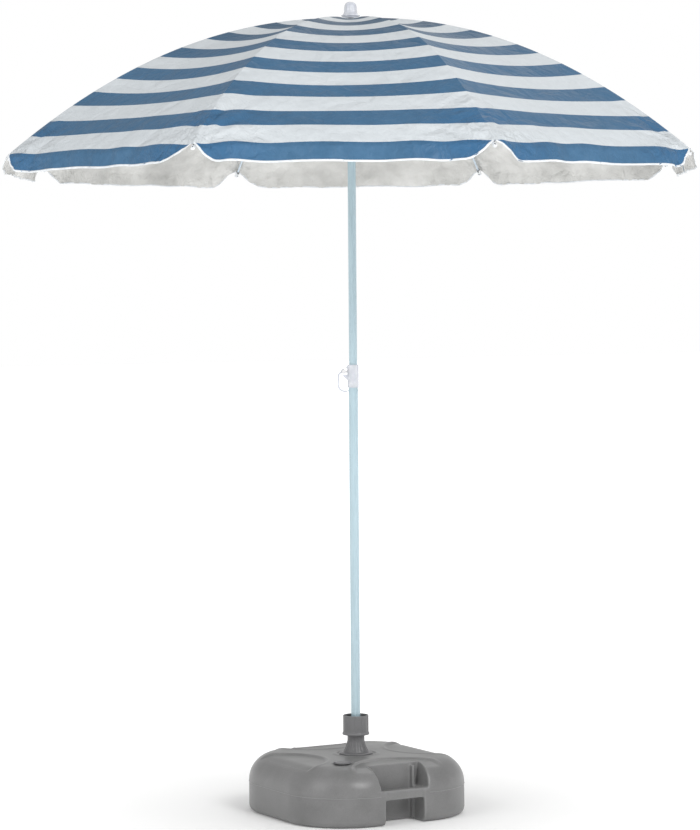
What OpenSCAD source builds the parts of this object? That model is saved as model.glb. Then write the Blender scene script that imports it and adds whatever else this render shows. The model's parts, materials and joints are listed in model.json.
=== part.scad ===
// Beach umbrella with a fillable base.
// Units are millimetres, +Z is up, and the origin is on the floor on the pole's axis.
// The base's sides lie along X and Y, and its two hand grips face -Y and +Y.

/* [Canopy] */
// Distance from the pole's axis to the fabric at a rib's tip
canopy_r = 820; // [780:1:860]
// Height of the rim, where the ribs end, above the floor
rim_z = 1528; // [1493:1:1573]
// Rise of the dome from the rim to the crown
dome_rise = 323; // [318:1:328]
// Power of the dome's profile, where 2 is a parabola
dome_power = 2.1; // [2.05:0.01:2.15]
// Thickness of the fabric
fabric_t = 1; // [0.6:0.1:1]
// Length of the valance that hangs from the rim
valance_len = 45; // [30:1:60]
// Lean of the valance outwards from straight down
valance_lean = 14; // [5:1:25]
// Half width of the notch in the valance at each rib
notch_half_w = 48; // [30:1:60]
// Direction of the first rib, from +X
canopy_turn = -8.8; // [-20:0.1:20]

/* [Ribs and stretchers] */
// Diameter of a rib's rod
rib_d = 5; // [4:0.5:5]
// Radius of the circle of rib pivots
pivot_r = 16; // [16:1:18]
// Height of the rib pivots above the floor
crown_pivot_z = 1838; // [1836:1:1839]
// Diameter of a stretcher's rod
stretcher_d = 4.5; // [4:0.5:5]
// Thickness of the flat ends that sit in the slots
tang_t = 3; // [2.5:0.1:3]
// Distance of the stretcher's pin below the rib's centre line
joint_drop = 9; // [8:0.5:10]

/* [Poles] */
// Outside diameter of the upper tube
upper_d = 19; // [19:1:19]
// Outside diameter of the lower tube
lower_d = 22; // [22:1:22]
// Wall of the upper tube
upper_wall = 1; // [0.8:0.1:1.2]
// Height of the upper tube's lower end
upper_low_z = 710; // [610:10:810]
// Height of the lower tube's upper end
lower_top_z = 1003; // [973:1:1013]
// Height of the lower tube's lower end
lower_low_z = 30; // [29:1:40]
// Sliding clearance on the radius
slide_gap = 0.35; // [0.3:0.05:0.4]

/* [Collar and lock] */
// Outside diameter of the collar
collar_d = 26; // [25:1:28]
// Height of the collar's top above the floor
collar_top_z = 1046; // [1043:1:1053]
// Length of the collar
collar_len = 53; // [50:1:56]
// Height of the lock pin's axis
peg_z = 1030; // [1029:1:1032]
// Direction of the lock pin, from +X
lock_turn = 150; // [140:0.5:155]
// Width of the bar that forms the pull ring
ring_bar = 4.4; // [3.5:0.1:5]

/* [Base] */
// Side of the base
base_side = 450; // [430:5:470]
// Corner radius of the base in plan
base_corner = 150; // [140:5:155]
// Height of the base's top plate
base_h = 134; // [134:1:134]
// Radius of the rounded shoulder
shoulder_r = 62; // [50:1:65]
// Radius of the rounded lower edge
foot_r = 14; // [10:1:20]
// Wall of the base
base_wall = 4; // [3:0.5:5]
// Width of a hand grip's opening
grip_w = 102; // [90:2:112]
// Width of the pocket above the grip bar
pocket_w = 124; // [110:2:130]
// Height of the grip bar's upper face
grip_top_z = 80; // [76:1:84]
// Height of the grip bar
grip_h = 22; // [18:1:26]
// Depth of the grip bar from the base's face
grip_bar_d = 24; // [20:1:28]
// Depth of the finger gap behind the grip bar
grip_gap = 36; // [30:1:40]

/* [Stem and clamp] */
// Outside diameter of the stem's neck
neck_d = 40; // [40:1:40]
// Outside diameter of the clamp nut
nut_d = 60; // [58:1:62]
// Height of the clamp nut's lower end
nut_low_z = 179; // [179:1:179]
// Height of the clamp nut's upper end
nut_top_z = 225; // [225:1:225]

/* [Hidden] */
$fn = 48;

ribs = 8;
half_gore = 180 / ribs;
gap = 0.3;          // between bodies that move past each other
eye_r = 3.8;        // rounded end of a rib or stretcher
eye_hole_r = 1.5;
slot_w = tang_t + 0.6;
hub_core_r = 11.6;  // solid middle of the hub and the runner, inside the slots
hub_r = 21.5;
wire_t = 1.4;       // square section of the pivot wire
rib_r = rib_d / 2;

// A rib follows three arcs, each given by its radius and by its slope where it starts.
arc_r = [560, 1160, 1330];
slope = [-6.5, 9, 19.25, 41.75];

upper_r = upper_d / 2;
upper_bore_r = upper_r - upper_wall;
lower_r = lower_d / 2;
lower_bore_r = upper_r + slide_gap;
collar_low_z = collar_top_z - collar_len;
cut = 1;            // how far a cutting shape runs past a face

// Position [distance from the axis, height] at the end of the first n arcs of a rib.
function rib_point(n) = n == 0
    ? [pivot_r, crown_pivot_z]
    : rib_point(n - 1) + arc_r[n - 1] * [
        sin(slope[n]) - sin(slope[n - 1]),
        cos(slope[n]) - cos(slope[n - 1])
    ];

joint_slope = slope[2];
joint_at = rib_point(2);
pin_at = joint_at - joint_drop * [sin(joint_slope), cos(joint_slope)];
tip_at = rib_point(3);
crown_pivot = [pivot_r, crown_pivot_z];
// The stretcher is as long as the rib's inner part, so it meets the runner this far down.
runner_pivot_z = crown_pivot_z - 2 * (crown_pivot_z - pin_at[1]);
stretcher_len = norm(pin_at - [pivot_r, runner_pivot_z]);
stretcher_rise = atan2(pin_at[1] - runner_pivot_z, pin_at[0] - pivot_r);

// Height of the dome's outer face above a rib, at a distance from the axis.
function dome_z(r) = rim_z + dome_rise * (1 - pow(r / canopy_r, dome_power));

// Points of an arc in a plane.
function arc_points(c, r, from, to, steps) = [
    for (i = [0 : steps])
        c + r * [cos(from + (to - from) * i / steps), sin(from + (to - from) * i / steps)]
];

module ring(r_out, r_in, z0, z1) {
    translate([0, 0, z0])
        difference() {
            cylinder(h = z1 - z0, r = r_out);
            translate([0, 0, -cut])
                cylinder(h = z1 - z0 + 2 * cut, r = r_in);
        }
}

module box(low, high) {
    translate(low)
        cube(high - low);
}

// Turns what is drawn in the X-Z plane to the direction of rib k.
module at_rib(k) {
    rotate([0, 0, canopy_turn + (k - 1) * 360 / ribs])
        children();
}

// ---- canopy ----

dome_steps = 14;

// One panel's section across its middle line, swept straight from side to side.
module panel_sheet() {
    mid = cos(half_gore);
    lean = [sin(valance_lean), -cos(valance_lean)];
    hem = [canopy_r * mid, rim_z] + valance_len * lean;
    outer = [
        for (i = [0 : dome_steps])
            let (r = canopy_r * i / dome_steps) [r * mid, dome_z(r)]
    ];
    inner = [for (i = [dome_steps : -1 : 0]) outer[i] - [0, fabric_t]];
    section = concat(
        outer,
        [hem, hem - [fabric_t, 0]],
        [inner[0] - [fabric_t, 0]],
        [for (i = [1 : dome_steps]) inner[i]]
    );
    rotate([90, 0, 0])
        linear_extrude(height = 2 * canopy_r, center = true)
            polygon(section);
}

// Half of the gore round a rib: from the rib to the middle of the panel beside it.
module half_gore_sheet() {
    reach = canopy_r + valance_len;
    edge = (gap / 2) / cos(half_gore);
    inner_x = 6;
    intersection() {
        rotate([0, 0, half_gore])
            panel_sheet();
        translate([0, 0, rim_z - valance_len - cut])
            linear_extrude(height = dome_rise + valance_len + 2 * cut)
                polygon([
                    [inner_x, 0],
                    [reach, 0],
                    [reach, reach * tan(half_gore) - edge],
                    [inner_x, inner_x * tan(half_gore) - edge],
                ]);
    }
}

module notch() {
    rotate([90, 0, 90])
        translate([0, 0, canopy_r * 0.85])
            linear_extrude(height = canopy_r * 0.3)
                polygon([
                    [-notch_half_w, rim_z - valance_len - 2],
                    [notch_half_w, rim_z - valance_len - 2],
                    [7, rim_z - 7],
                    [-7, rim_z - 7],
                ]);
}

module canopy_panel(k) {
    hole_r = 8;
    color("steelblue")
        at_rib(k)
            difference() {
                union() {
                    half_gore_sheet();
                    mirror([0, 1, 0])
                        half_gore_sheet();
                }
                notch();
                rib_end(tip_r + gap, tip_len + 6);
                translate([0, 0, rim_z])
                    cylinder(h = dome_rise + 10, r = hole_r);
            }
}

// ---- ribs ----

tip_r = 4;
tip_len = 16;
tang_len = 18;

// A stretch of a rib's rod along one of its arcs.
module rib_arc(n, from, to, r) {
    centre = rib_point(n) - arc_r[n] * [sin(slope[n]), cos(slope[n])];
    translate([centre[0], 0, centre[1]])
        rotate([90, 0, 0])
            rotate([0, 0, 90 - to])
                rotate_extrude(angle = to - from)
                    translate([arc_r[n], 0])
                        circle(r = r);
}

// A straight cylinder on the rib's last stretch, ending beyond the tip.
module rib_end(r, length) {
    translate([tip_at[0], 0, tip_at[1]])
        rotate([0, 90 + slope[3], 0])
            translate([0, 0, 6 - length])
                cylinder(h = length, r = r);
}

// A flat bar with a round eye at its start, along +X.
module tang(length, height) {
    rotate([90, 0, 0])
        difference() {
            union() {
                translate([0, 0, -tang_t / 2])
                    cylinder(h = tang_t, r = eye_r);
                translate([0, -height / 2, -tang_t / 2])
                    cube([length, height, tang_t]);
            }
            translate([0, 0, -tang_t])
                cylinder(h = 2 * tang_t, r = eye_hole_r);
        }
}

// The angle that a length takes up along one of a rib's arcs.
function along(n, length) = length / arc_r[n] * 180 / PI;

// A short swage round a rib, where its curvature changes.
module rib_swage(n) {
    translate([rib_point(n)[0], 0, rib_point(n)[1]])
        rotate([0, 90 + slope[n], 0])
            cylinder(h = 8, r = rib_r + 0.1, center = true);
}

module rib(k) {
    rod_start = 14;
    end_cut = tip_len - 6 - 2;
    color("lightsteelblue")
        at_rib(k)
            union() {
                translate([pivot_r, 0, crown_pivot_z])
                    rotate([0, slope[0], 0])
                        tang(tang_len, 5.6);
                rib_arc(0, slope[0] + along(0, rod_start), slope[1] - along(0, 1), rib_r);
                rib_swage(1);
                rib_arc(1, slope[1] + along(1, 1), slope[2] - along(1, 1), rib_r);
                rib_swage(2);
                rib_arc(2, slope[2] + along(2, 1), slope[3] - along(2, end_cut), rib_r);
            }
}

module rib_tip(k) {
    color("black")
        at_rib(k)
            difference() {
                rib_end(tip_r, tip_len);
                rib_arc(2, slope[2], slope[3] - along(2, tip_len - 6 - 2), rib_r);
            }
}

// A clip round the rib with two cheeks, and the stretcher's rivet across them.
module rib_joint(k) {
    half_len = 7;
    half_w = 4.3;
    cheek_in = slot_w / 2 + 0.05;
    rivet_r = 1.1;
    color("gainsboro")
        at_rib(k)
            translate([joint_at[0], 0, joint_at[1]])
                rotate([0, joint_slope, 0])
                    union() {
                        difference() {
                            box([-half_len, -half_w, -joint_drop - 4], [half_len, half_w, 2]);
                            rotate([0, 90, 0])
                                cylinder(h = 4 * half_len, r = rib_r + 0.35, center = true);
                            box(
                                [-half_len - cut, -cheek_in, -joint_drop - 4 - cut],
                                [half_len + cut, cheek_in, -joint_drop + eye_r + 0.8]
                            );
                        }
                        translate([0, 0, -joint_drop])
                            rotate([90, 0, 0])
                                cylinder(h = 2 * half_w, r = rivet_r, center = true);
                    }
}

module stretcher(k) {
    bar_len = 26;
    rod_from = 22;
    color("lightsteelblue")
        at_rib(k)
            translate([pivot_r, 0, runner_pivot_z])
                rotate([0, -stretcher_rise, 0])
                    union() {
                        tang(bar_len, 5.5);
                        translate([stretcher_len, 0, 0])
                            rotate([0, 0, 180])
                                tang(bar_len, 5.5);
                        translate([rod_from, 0, 0])
                            rotate([0, 90, 0])
                                cylinder(h = stretcher_len - 2 * rod_from, r = stretcher_d / 2);
                    }
}

// ---- crown and runner ----

// A ring of teeth with a slot between them for each rib or stretcher.
module slotted_ring(z0, z1) {
    difference() {
        translate([0, 0, z0])
            cylinder(h = z1 - z0, r = hub_r);
        for (k = [1 : ribs])
            at_rib(k)
                box([hub_core_r, -slot_w / 2, z0 - cut], [hub_r + cut, slot_w / 2, z1 + cut]);
    }
}

module crown_hub() {
    spigot_r = upper_bore_r;
    bore_r = 5.1;
    low = crown_pivot_z - 7;
    top = crown_pivot_z + 7.6;
    color("white")
        difference() {
            union() {
                slotted_ring(low, top);
                translate([0, 0, low - 2])
                    cylinder(h = 2, r = upper_r);
                translate([0, 0, low - 25])
                    cylinder(h = 25, r = spigot_r);
            }
            ring(hub_r + cut, pivot_r - wire_t / 2,
                crown_pivot_z - wire_t / 2, crown_pivot_z + wire_t / 2);
            translate([0, 0, low - 25 - cut])
                cylinder(h = 60, r = bore_r);
        }
}

module pivot_wire() {
    color("silver")
        ring(pivot_r + wire_t / 2, pivot_r - wire_t / 2,
            crown_pivot_z - wire_t / 2, crown_pivot_z + wire_t / 2);
}

module crown_washer() {
    color("silver")
        ring(22, 5.4, crown_pivot_z + 7.6, crown_pivot_z + 9);
}

finial_low_z = rim_z + dome_rise + 0.4;

module finial() {
    flange_r = 24;
    flange_t = 3;
    dome_r = 14.5;
    dome_straight = 26;
    top_round = 12;
    spigot_len = 24;
    color("white")
        union() {
            translate([0, 0, finial_low_z])
                rotate_extrude()
                    polygon(concat(
                        [[0, 0], [flange_r, 0], [flange_r, 1]],
                        arc_points([flange_r - 8, flange_t - 1 + 8], 8, -80, -90, 2),
                        [[dome_r, flange_t]],
                        arc_points([dome_r - top_round, dome_straight], top_round, 0, 90, 6),
                        [[0, dome_straight + top_round]]
                    ));
            translate([0, 0, finial_low_z - spigot_len])
                cylinder(h = spigot_len, r = 5);
        }
}

module runner() {
    sleeve_below = 50;
    color("white")
        difference() {
            union() {
                slotted_ring(runner_pivot_z - 7, runner_pivot_z + 7);
                translate([0, 0, runner_pivot_z - sleeve_below])
                    cylinder(h = sleeve_below + 7, r = hub_core_r);
            }
            translate([0, 0, runner_pivot_z - sleeve_below - cut])
                cylinder(h = sleeve_below + 7 + 2 * cut, r = upper_r + slide_gap);
        }
}

// ---- poles ----

upper_top_z = crown_pivot_z - 9;

module upper_tube() {
    color("lightblue")
        ring(upper_r, upper_bore_r, upper_low_z, upper_top_z);
}

module upper_tube_plug() {
    color("dimgray")
        union() {
            translate([0, 0, upper_low_z - 8])
                cylinder(h = 8, r = upper_r);
            translate([0, 0, upper_low_z])
                cylinder(h = 20, r = upper_bore_r);
        }
}

module lower_tube() {
    bead_r = lower_r + 0.8;
    bead_z = collar_low_z - 9;
    color("lightblue")
        union() {
            ring(lower_r, lower_bore_r, lower_low_z, lower_top_z);
            ring(bead_r, lower_bore_r + 0.4, bead_z, bead_z + 3.5);
        }
}

module lower_tube_plug() {
    color("dimgray")
        union() {
            translate([0, 0, lower_low_z - 4])
                cylinder(h = 4, r = lower_r);
            translate([0, 0, lower_low_z])
                cylinder(h = 25, r = lower_bore_r);
        }
}

// ---- collar and lock ----

knob_at = [21.5, peg_z];
lug_low_z = collar_top_z - 35;
peg_r = 2.5;
knob_r = 5.2;
knob_half_w = 5.5;

module at_lock() {
    rotate([0, 0, lock_turn])
        children();
}

module collar() {
    lug_w = 7;
    wall_r = collar_d / 2;
    color("white")
        difference() {
            union() {
                translate([0, 0, collar_low_z])
                    cylinder(h = collar_len, r = wall_r);
                at_lock()
                    translate([0, lug_w / 2, 0])
                        rotate([90, 0, 0])
                            linear_extrude(height = lug_w)
                                polygon([
                                    [lower_r + 0.5, collar_top_z - 1],
                                    [wall_r + 0.5, collar_top_z - 1],
                                    [wall_r + 5.5, knob_at[1] + 8.5],
                                    [wall_r + 1, knob_at[1] + 8],
                                    [wall_r + 1, knob_at[1] - 7],
                                    [knob_at[0] + 2.5, knob_at[1] - 7],
                                    [knob_at[0] + 2.5, knob_at[1] - 10],
                                    [wall_r + 1, lug_low_z],
                                    [lower_r + 0.5, lug_low_z],
                                ]);
            }
            translate([0, 0, collar_low_z - cut])
                cylinder(h = collar_len + 2 * cut, r = lower_bore_r);
            translate([0, 0, collar_low_z - cut])
                cylinder(h = lower_top_z - collar_low_z + cut, r = lower_r);
            at_lock()
                translate([lower_bore_r - 4, 0, peg_z])
                    rotate([0, 90, 0])
                        cylinder(h = knob_at[0], r = peg_r + slide_gap);
        }
}

// A peg into the collar, with a cross pin whose round heads show on both sides.
module lock_peg() {
    shank_from = lower_bore_r + gap;
    color("silver")
        at_lock()
            union() {
                translate([shank_from, 0, peg_z])
                    rotate([0, 90, 0])
                        cylinder(h = knob_at[0] - shank_from, r = peg_r);
                translate([knob_at[0], 0, knob_at[1]])
                    rotate([90, 0, 0])
                        cylinder(h = 2 * knob_half_w, r = knob_r, center = true);
            }
}

// A D-shaped finger ring, hooked over the outer side of the cross pin.
module pull_ring() {
    eye_in = knob_r + 0.05;
    top_at = [22.5, peg_z - 12];
    top_r = 10.1;
    foot_at = [20, peg_z - 31];
    foot_in = 12.6;
    foot_x = collar_d / 2 + 0.6;
    color("white")
        at_lock()
            translate([0, ring_bar / 2, 0])
                rotate([90, 0, 0])
                    linear_extrude(height = ring_bar)
                        polygon(concat(
                            arc_points(knob_at, eye_in, 90, -60, 8),
                            arc_points(top_at, top_r, 50, 0, 5),
                            arc_points(foot_at, foot_in, 0, -90, 8),
                            [[foot_x, foot_at[1] - foot_in]],
                            [[foot_x, foot_at[1] - foot_in - ring_bar]],
                            arc_points(foot_at, foot_in + ring_bar, -90, 0, 8),
                            arc_points(top_at, top_r + ring_bar, 0, 60, 5),
                            arc_points(knob_at, eye_in + 2, 20, 90, 4)
                        ));
}

// ---- base ----

// Half of the base's upright section, from the middle of a corner to its face.
function base_section(x0, r, h, low) = concat(
    [[x0, low]],
    arc_points([r - foot_r, low + foot_r], foot_r, -90, 0, 4),
    arc_points([r - shoulder_r, h - shoulder_r], shoulder_r, 0, 90, 8),
    [[x0, h]]
);

// A rounded square block with a round shoulder and a round lower edge.
module base_block(side, corner, h, low) {
    inner = side / 2 - corner;
    for (x = [-1, 1], y = [-1, 1])
        translate([x * inner, y * inner, 0])
            rotate_extrude()
                polygon(base_section(0, corner, h, low));
    for (turn = [0, 180])
        rotate([0, 0, turn])
            rotate([90, 0, 0])
                linear_extrude(height = 2 * inner, center = true)
                    polygon(base_section(-inner, side / 2, h, low));
    for (turn = [90, 270])
        rotate([0, 0, turn])
            rotate([90, 0, 0])
                linear_extrude(height = 2 * inner, center = true)
                    polygon(base_section(inner, side / 2, h, low));
}

// What is cut from each of two faces to leave a grip bar with a finger gap behind it.
module grip_cuts(grow) {
    face = base_side / 2;
    for (turn = [0, 180])
        rotate([0, 0, turn])
            difference() {
                union() {
                    box(
                        [-grip_w / 2 - grow, -face - 20, -cut],
                        [grip_w / 2 + grow, -face + grip_bar_d + grip_gap + grow, base_h + cut]
                    );
                    box(
                        [-pocket_w / 2 - grow, -face - 20, grip_top_z - grow],
                        [pocket_w / 2 + grow, -face + grip_bar_d + grip_gap + grow, base_h + cut]
                    );
                }
                if (grow == 0)
                    box(
                        [-grip_w / 2 - cut, -face - 21, grip_top_z - grip_h],
                        [grip_w / 2 + cut, -face + grip_bar_d, grip_top_z]
                    );
            }
}

socket_r = 17;
socket_low_z = 14;
cap_at = [-105, -119.5];
cap_hole_r = 16;

module filler_hole(r, z0, z1) {
    translate([cap_at[0], cap_at[1], z0])
        cylinder(h = z1 - z0, r = r);
}

module base_body() {
    color("gray")
        difference() {
            base_block(base_side, base_corner, base_h, 0);
            grip_cuts(0);
            difference() {
                base_block(base_side - 2 * base_wall, base_corner - base_wall,
                    base_h - base_wall, base_wall);
                grip_cuts(base_wall);
                translate([0, 0, -cut])
                    cylinder(h = base_h + 2 * cut, r = socket_r + base_wall);
            }
            translate([0, 0, socket_low_z])
                cylinder(h = base_h, r = socket_r);
            filler_hole(cap_hole_r, base_h - 2 * base_wall, base_h + cut);
        }
}

module water_fill() {
    skin = base_wall + 1;
    level = base_h - 20;
    color("lightskyblue")
        difference() {
            intersection() {
                base_block(base_side - 2 * skin, base_corner - skin, base_h - skin, skin);
                box([-base_side, -base_side, 0], [base_side, base_side, level]);
            }
            grip_cuts(skin);
            translate([0, 0, -cut])
                cylinder(h = base_h + 2 * cut, r = socket_r + skin);
        }
}

module filler_cap() {
    color("dimgray")
        translate([cap_at[0], cap_at[1], 0])
            difference() {
                union() {
                    translate([0, 0, base_h + 2])
                        cylinder(h = 4, r = 21);
                    translate([0, 0, base_h - 6])
                        cylinder(h = 8, r = cap_hole_r - 0.5);
                }
                box([-14, -1.5, base_h + 4], [14, 1.5, base_h + 7]);
            }
}

module cap_gasket() {
    color("black")
        translate([cap_at[0], cap_at[1], 0])
            ring(20, cap_hole_r + 0.2, base_h + 0.35, base_h + 1.65);
}

// ---- stem and clamp ----

module stem() {
    foot_d = 79;
    cone_low_z = base_h + 4;
    cone_top_z = base_h + 30;
    neck_top_z = nut_low_z + 23;
    bore_r = lower_r + 0.4;
    color("dimgray")
        difference() {
            union() {
                translate([0, 0, socket_low_z])
                    cylinder(h = base_h - socket_low_z, r = socket_r - 0.1);
                translate([0, 0, base_h])
                    cylinder(h = 4, r = foot_d / 2);
                translate([0, 0, cone_low_z])
                    cylinder(h = cone_top_z - cone_low_z, r1 = 30, r2 = neck_d / 2);
                translate([0, 0, cone_top_z])
                    cylinder(h = neck_top_z - cone_top_z, r = neck_d / 2);
            }
            translate([0, 0, lower_low_z - 4 - gap])
                cylinder(h = nut_top_z, r = bore_r);
        }
}

module clamp_nut() {
    flutes = 10;
    shelf_low_z = nut_low_z + 35.6;
    shelf_top_z = shelf_low_z + 3.4;
    thread_r = neck_d / 2 + 0.4;
    cup_r = nut_d / 2 - 2.5;
    color("gray")
        difference() {
            union() {
                translate([0, 0, nut_low_z + 0.4])
                    cylinder(h = nut_top_z - nut_low_z - 0.4, r = nut_d / 2);
                translate([0, 0, nut_low_z + 0.4])
                    cylinder(h = 4.6, r = nut_d / 2 + 1.5);
            }
            translate([0, 0, nut_low_z - cut])
                cylinder(h = shelf_low_z - nut_low_z + cut, r = thread_r);
            translate([0, 0, nut_low_z])
                cylinder(h = nut_top_z - nut_low_z, r = lower_r + 1.5);
            translate([0, 0, shelf_top_z])
                cylinder(h = nut_top_z - shelf_top_z + cut, r = cup_r);
            for (i = [0 : flutes - 1])
                rotate([0, 0, i * 360 / flutes])
                    translate([nut_d / 2 + 10.8, 0, nut_low_z + 6.5])
                        cylinder(h = nut_top_z - nut_low_z, r = 12);
        }
}

module clamp_collet() {
    color("dimgray")
        ring(neck_d / 2 - 0.5, lower_r + 0.4, nut_low_z + 23.3, nut_low_z + 35.2);
}

base_body();
water_fill();
filler_cap();
cap_gasket();
stem();
clamp_nut();
clamp_collet();
lower_tube();
lower_tube_plug();
collar();
pull_ring();
lock_peg();
upper_tube();
upper_tube_plug();
crown_hub();
pivot_wire();
crown_washer();
finial();
runner();
canopy_panel(1);  // canopy_panel_1
canopy_panel(2);  // canopy_panel_2
canopy_panel(3);  // canopy_panel_3
canopy_panel(4);  // canopy_panel_4
canopy_panel(5);  // canopy_panel_5
canopy_panel(6);  // canopy_panel_6
canopy_panel(7);  // canopy_panel_7
canopy_panel(8);  // canopy_panel_8
rib(1);  // rib_1
rib(2);  // rib_2
rib(3);  // rib_3
rib(4);  // rib_4
rib(5);  // rib_5
rib(6);  // rib_6
rib(7);  // rib_7
rib(8);  // rib_8
rib_tip(1);  // rib_tip_1
rib_tip(2);  // rib_tip_2
rib_tip(3);  // rib_tip_3
rib_tip(4);  // rib_tip_4
rib_tip(5);  // rib_tip_5
rib_tip(6);  // rib_tip_6
rib_tip(7);  // rib_tip_7
rib_tip(8);  // rib_tip_8
rib_joint(1);  // rib_joint_1
rib_joint(2);  // rib_joint_2
rib_joint(3);  // rib_joint_3
rib_joint(4);  // rib_joint_4
rib_joint(5);  // rib_joint_5
rib_joint(6);  // rib_joint_6
rib_joint(7);  // rib_joint_7
rib_joint(8);  // rib_joint_8
stretcher(1);  // stretcher_1
stretcher(2);  // stretcher_2
stretcher(3);  // stretcher_3
stretcher(4);  // stretcher_4
stretcher(5);  // stretcher_5
stretcher(6);  // stretcher_6
stretcher(7);  // stretcher_7
stretcher(8);  // stretcher_8
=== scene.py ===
import json
import math

import bpy
import numpy as np
from mathutils import Matrix, Vector


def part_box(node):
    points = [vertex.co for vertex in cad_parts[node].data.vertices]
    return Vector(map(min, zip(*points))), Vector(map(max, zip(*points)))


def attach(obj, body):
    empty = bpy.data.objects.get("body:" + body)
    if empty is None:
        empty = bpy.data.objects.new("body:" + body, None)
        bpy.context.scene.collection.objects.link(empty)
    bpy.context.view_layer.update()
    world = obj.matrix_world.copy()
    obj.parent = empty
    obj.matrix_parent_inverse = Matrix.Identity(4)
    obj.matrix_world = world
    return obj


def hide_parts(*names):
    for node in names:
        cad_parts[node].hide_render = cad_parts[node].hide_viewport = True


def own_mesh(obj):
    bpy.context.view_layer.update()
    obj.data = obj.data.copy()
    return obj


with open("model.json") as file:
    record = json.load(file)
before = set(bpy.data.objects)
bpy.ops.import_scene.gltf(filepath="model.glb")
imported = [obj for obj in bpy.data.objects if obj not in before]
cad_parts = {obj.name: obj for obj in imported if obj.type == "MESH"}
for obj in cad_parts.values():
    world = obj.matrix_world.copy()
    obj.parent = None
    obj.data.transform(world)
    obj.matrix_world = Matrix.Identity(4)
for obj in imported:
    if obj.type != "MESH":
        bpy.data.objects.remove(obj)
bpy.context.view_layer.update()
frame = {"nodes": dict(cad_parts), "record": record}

MM = 0.001


# ---------------------------------------------------------------- places from the frame

def low(node):
    return Vector(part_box(node)[0])


def high(node):
    return Vector(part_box(node)[1])


JOINTS = {j["name"]: j for j in frame["record"]["behaviour"]["joints"]}
RIBS = sum(1 for name in JOINTS if name.startswith("rib_pivot_"))
HALF = math.pi / RIBS               # half the angle between two ribs
RIM_R = 0.82                        # from the pole's axis to the cloth at a rib's tip
RIM_HALF = RIM_R * math.sin(HALF)   # half the width of a panel at the rim
RIM_MID = RIM_R * math.cos(HALF)    # from the pole's axis to the middle of a panel's rim


def rib_turn(k):
    """Direction of rib k from +X; k may run past the ends of 1 to RIBS."""
    x, y, _ = JOINTS[f"rib_pivot_{(k - 1) % RIBS + 1}"]["pos_m"]
    return math.atan2(y, x)


# ---------------------------------------------------------------- camera

VIEW_TURN = math.radians(-120)   # where the camera stands, from +X
VIEW_FAR = 7.0
VIEW_HIGH = 1.216
VIEW_SIDE = -0.0082
VIEW_PITCH = math.radians(2.35)  # how far it looks down
VIEW_ROLL = math.radians(-0.43)
LENS = 130.1
SENSOR = 36


def make_camera():
    data = bpy.data.cameras.new("camera")
    data.lens = LENS
    data.sensor_width = SENSOR
    data.clip_end = 100
    camera = bpy.data.objects.new("camera", data)
    bpy.context.scene.collection.objects.link(camera)
    out = Vector((math.cos(VIEW_TURN), math.sin(VIEW_TURN), 0))
    side = Vector((-math.sin(VIEW_TURN), math.cos(VIEW_TURN), 0))
    camera.location = out * VIEW_FAR + side * VIEW_SIDE + Vector((0, 0, VIEW_HIGH))
    ahead = -out * math.cos(VIEW_PITCH) - Vector((0, 0, math.sin(VIEW_PITCH)))
    turn = ahead.to_track_quat("-Z", "Y").to_matrix().to_4x4()
    camera.matrix_world = (Matrix.Translation(camera.location) @ turn
                           @ Matrix.Rotation(VIEW_ROLL, 4, "Z"))
    bpy.context.scene.camera = camera


make_camera()


# ---------------------------------------------------------------- material helpers

def new_material(name):
    """A material, its shader, a helper that adds nodes and one that sets or links a socket."""
    m = bpy.data.materials.new(name)
    m.use_nodes = True
    nodes, links = m.node_tree.nodes, m.node_tree.links
    shader = nodes["Principled BSDF"]

    def add(kind, inputs=None, **settings):
        n = nodes.new(kind)
        for key, value in settings.items():
            setattr(n, key, value)
        for socket, value in (inputs or {}).items():
            put(n, socket, value)
        return n

    def put(n, socket, value):
        if isinstance(value, bpy.types.NodeSocket):
            links.new(value, n.inputs[socket])
        else:
            n.inputs[socket].default_value = value

    return m, shader, add, put


def place(add):
    """The object's own coordinates, in metres."""
    return add("ShaderNodeTexCoord").outputs["Object"]


def ramp(add, fac, stops):
    """A colour from (place, colour) stops."""
    n = add("ShaderNodeValToRGB", {"Fac": fac})
    e = n.color_ramp.elements
    while len(e) > 1:
        e.remove(e[-1])
    e[0].position, e[0].color = stops[0][0], (*stops[0][1], 1)
    for at, colour in stops[1:]:
        e.new(at).color = (*colour, 1)
    return n.outputs["Color"]


def math_node(add, op, a, b=0.0, c=0.0):
    return add("ShaderNodeMath", {0: a, 1: b, 2: c}, operation=op).outputs[0]


def noise_node(add, where, scale, detail=3, rough=0.5):
    return add("ShaderNodeTexNoise", {"Vector": where, "Scale": scale, "Detail": detail,
                                      "Roughness": rough}).outputs["Fac"]


def ranged(add, value, old, new):
    """A value moved from one range to another, and held at the ends."""
    return add("ShaderNodeMapRange", {"Value": value, "From Min": old[0], "From Max": old[1],
                                      "To Min": new[0], "To Max": new[1]}).outputs["Result"]


def mixed(add, factor, first, second):
    """A colour between two others, each a socket or four numbers."""
    return add("ShaderNodeMix", {"Factor": factor, 6: first, 7: second},
               data_type="RGBA").outputs[2]


def bands(add, where, scale, distortion, detail, direction):
    return add("ShaderNodeTexWave", {"Vector": where, "Scale": scale, "Distortion": distortion,
                                     "Detail": detail}, bands_direction=direction).outputs["Fac"]


def bump(add, put, shader, height, strength, distance, before=None):
    """Bends the shader's normal by a height, on top of the bump before it."""
    links = {"Height": height, "Strength": strength, "Distance": distance}
    if before is not None:
        links["Normal"] = before
    n = add("ShaderNodeBump", links)
    put(shader, "Normal", n.outputs["Normal"])
    return n.outputs["Normal"]


# ---------------------------------------------------------------- cloth

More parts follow.
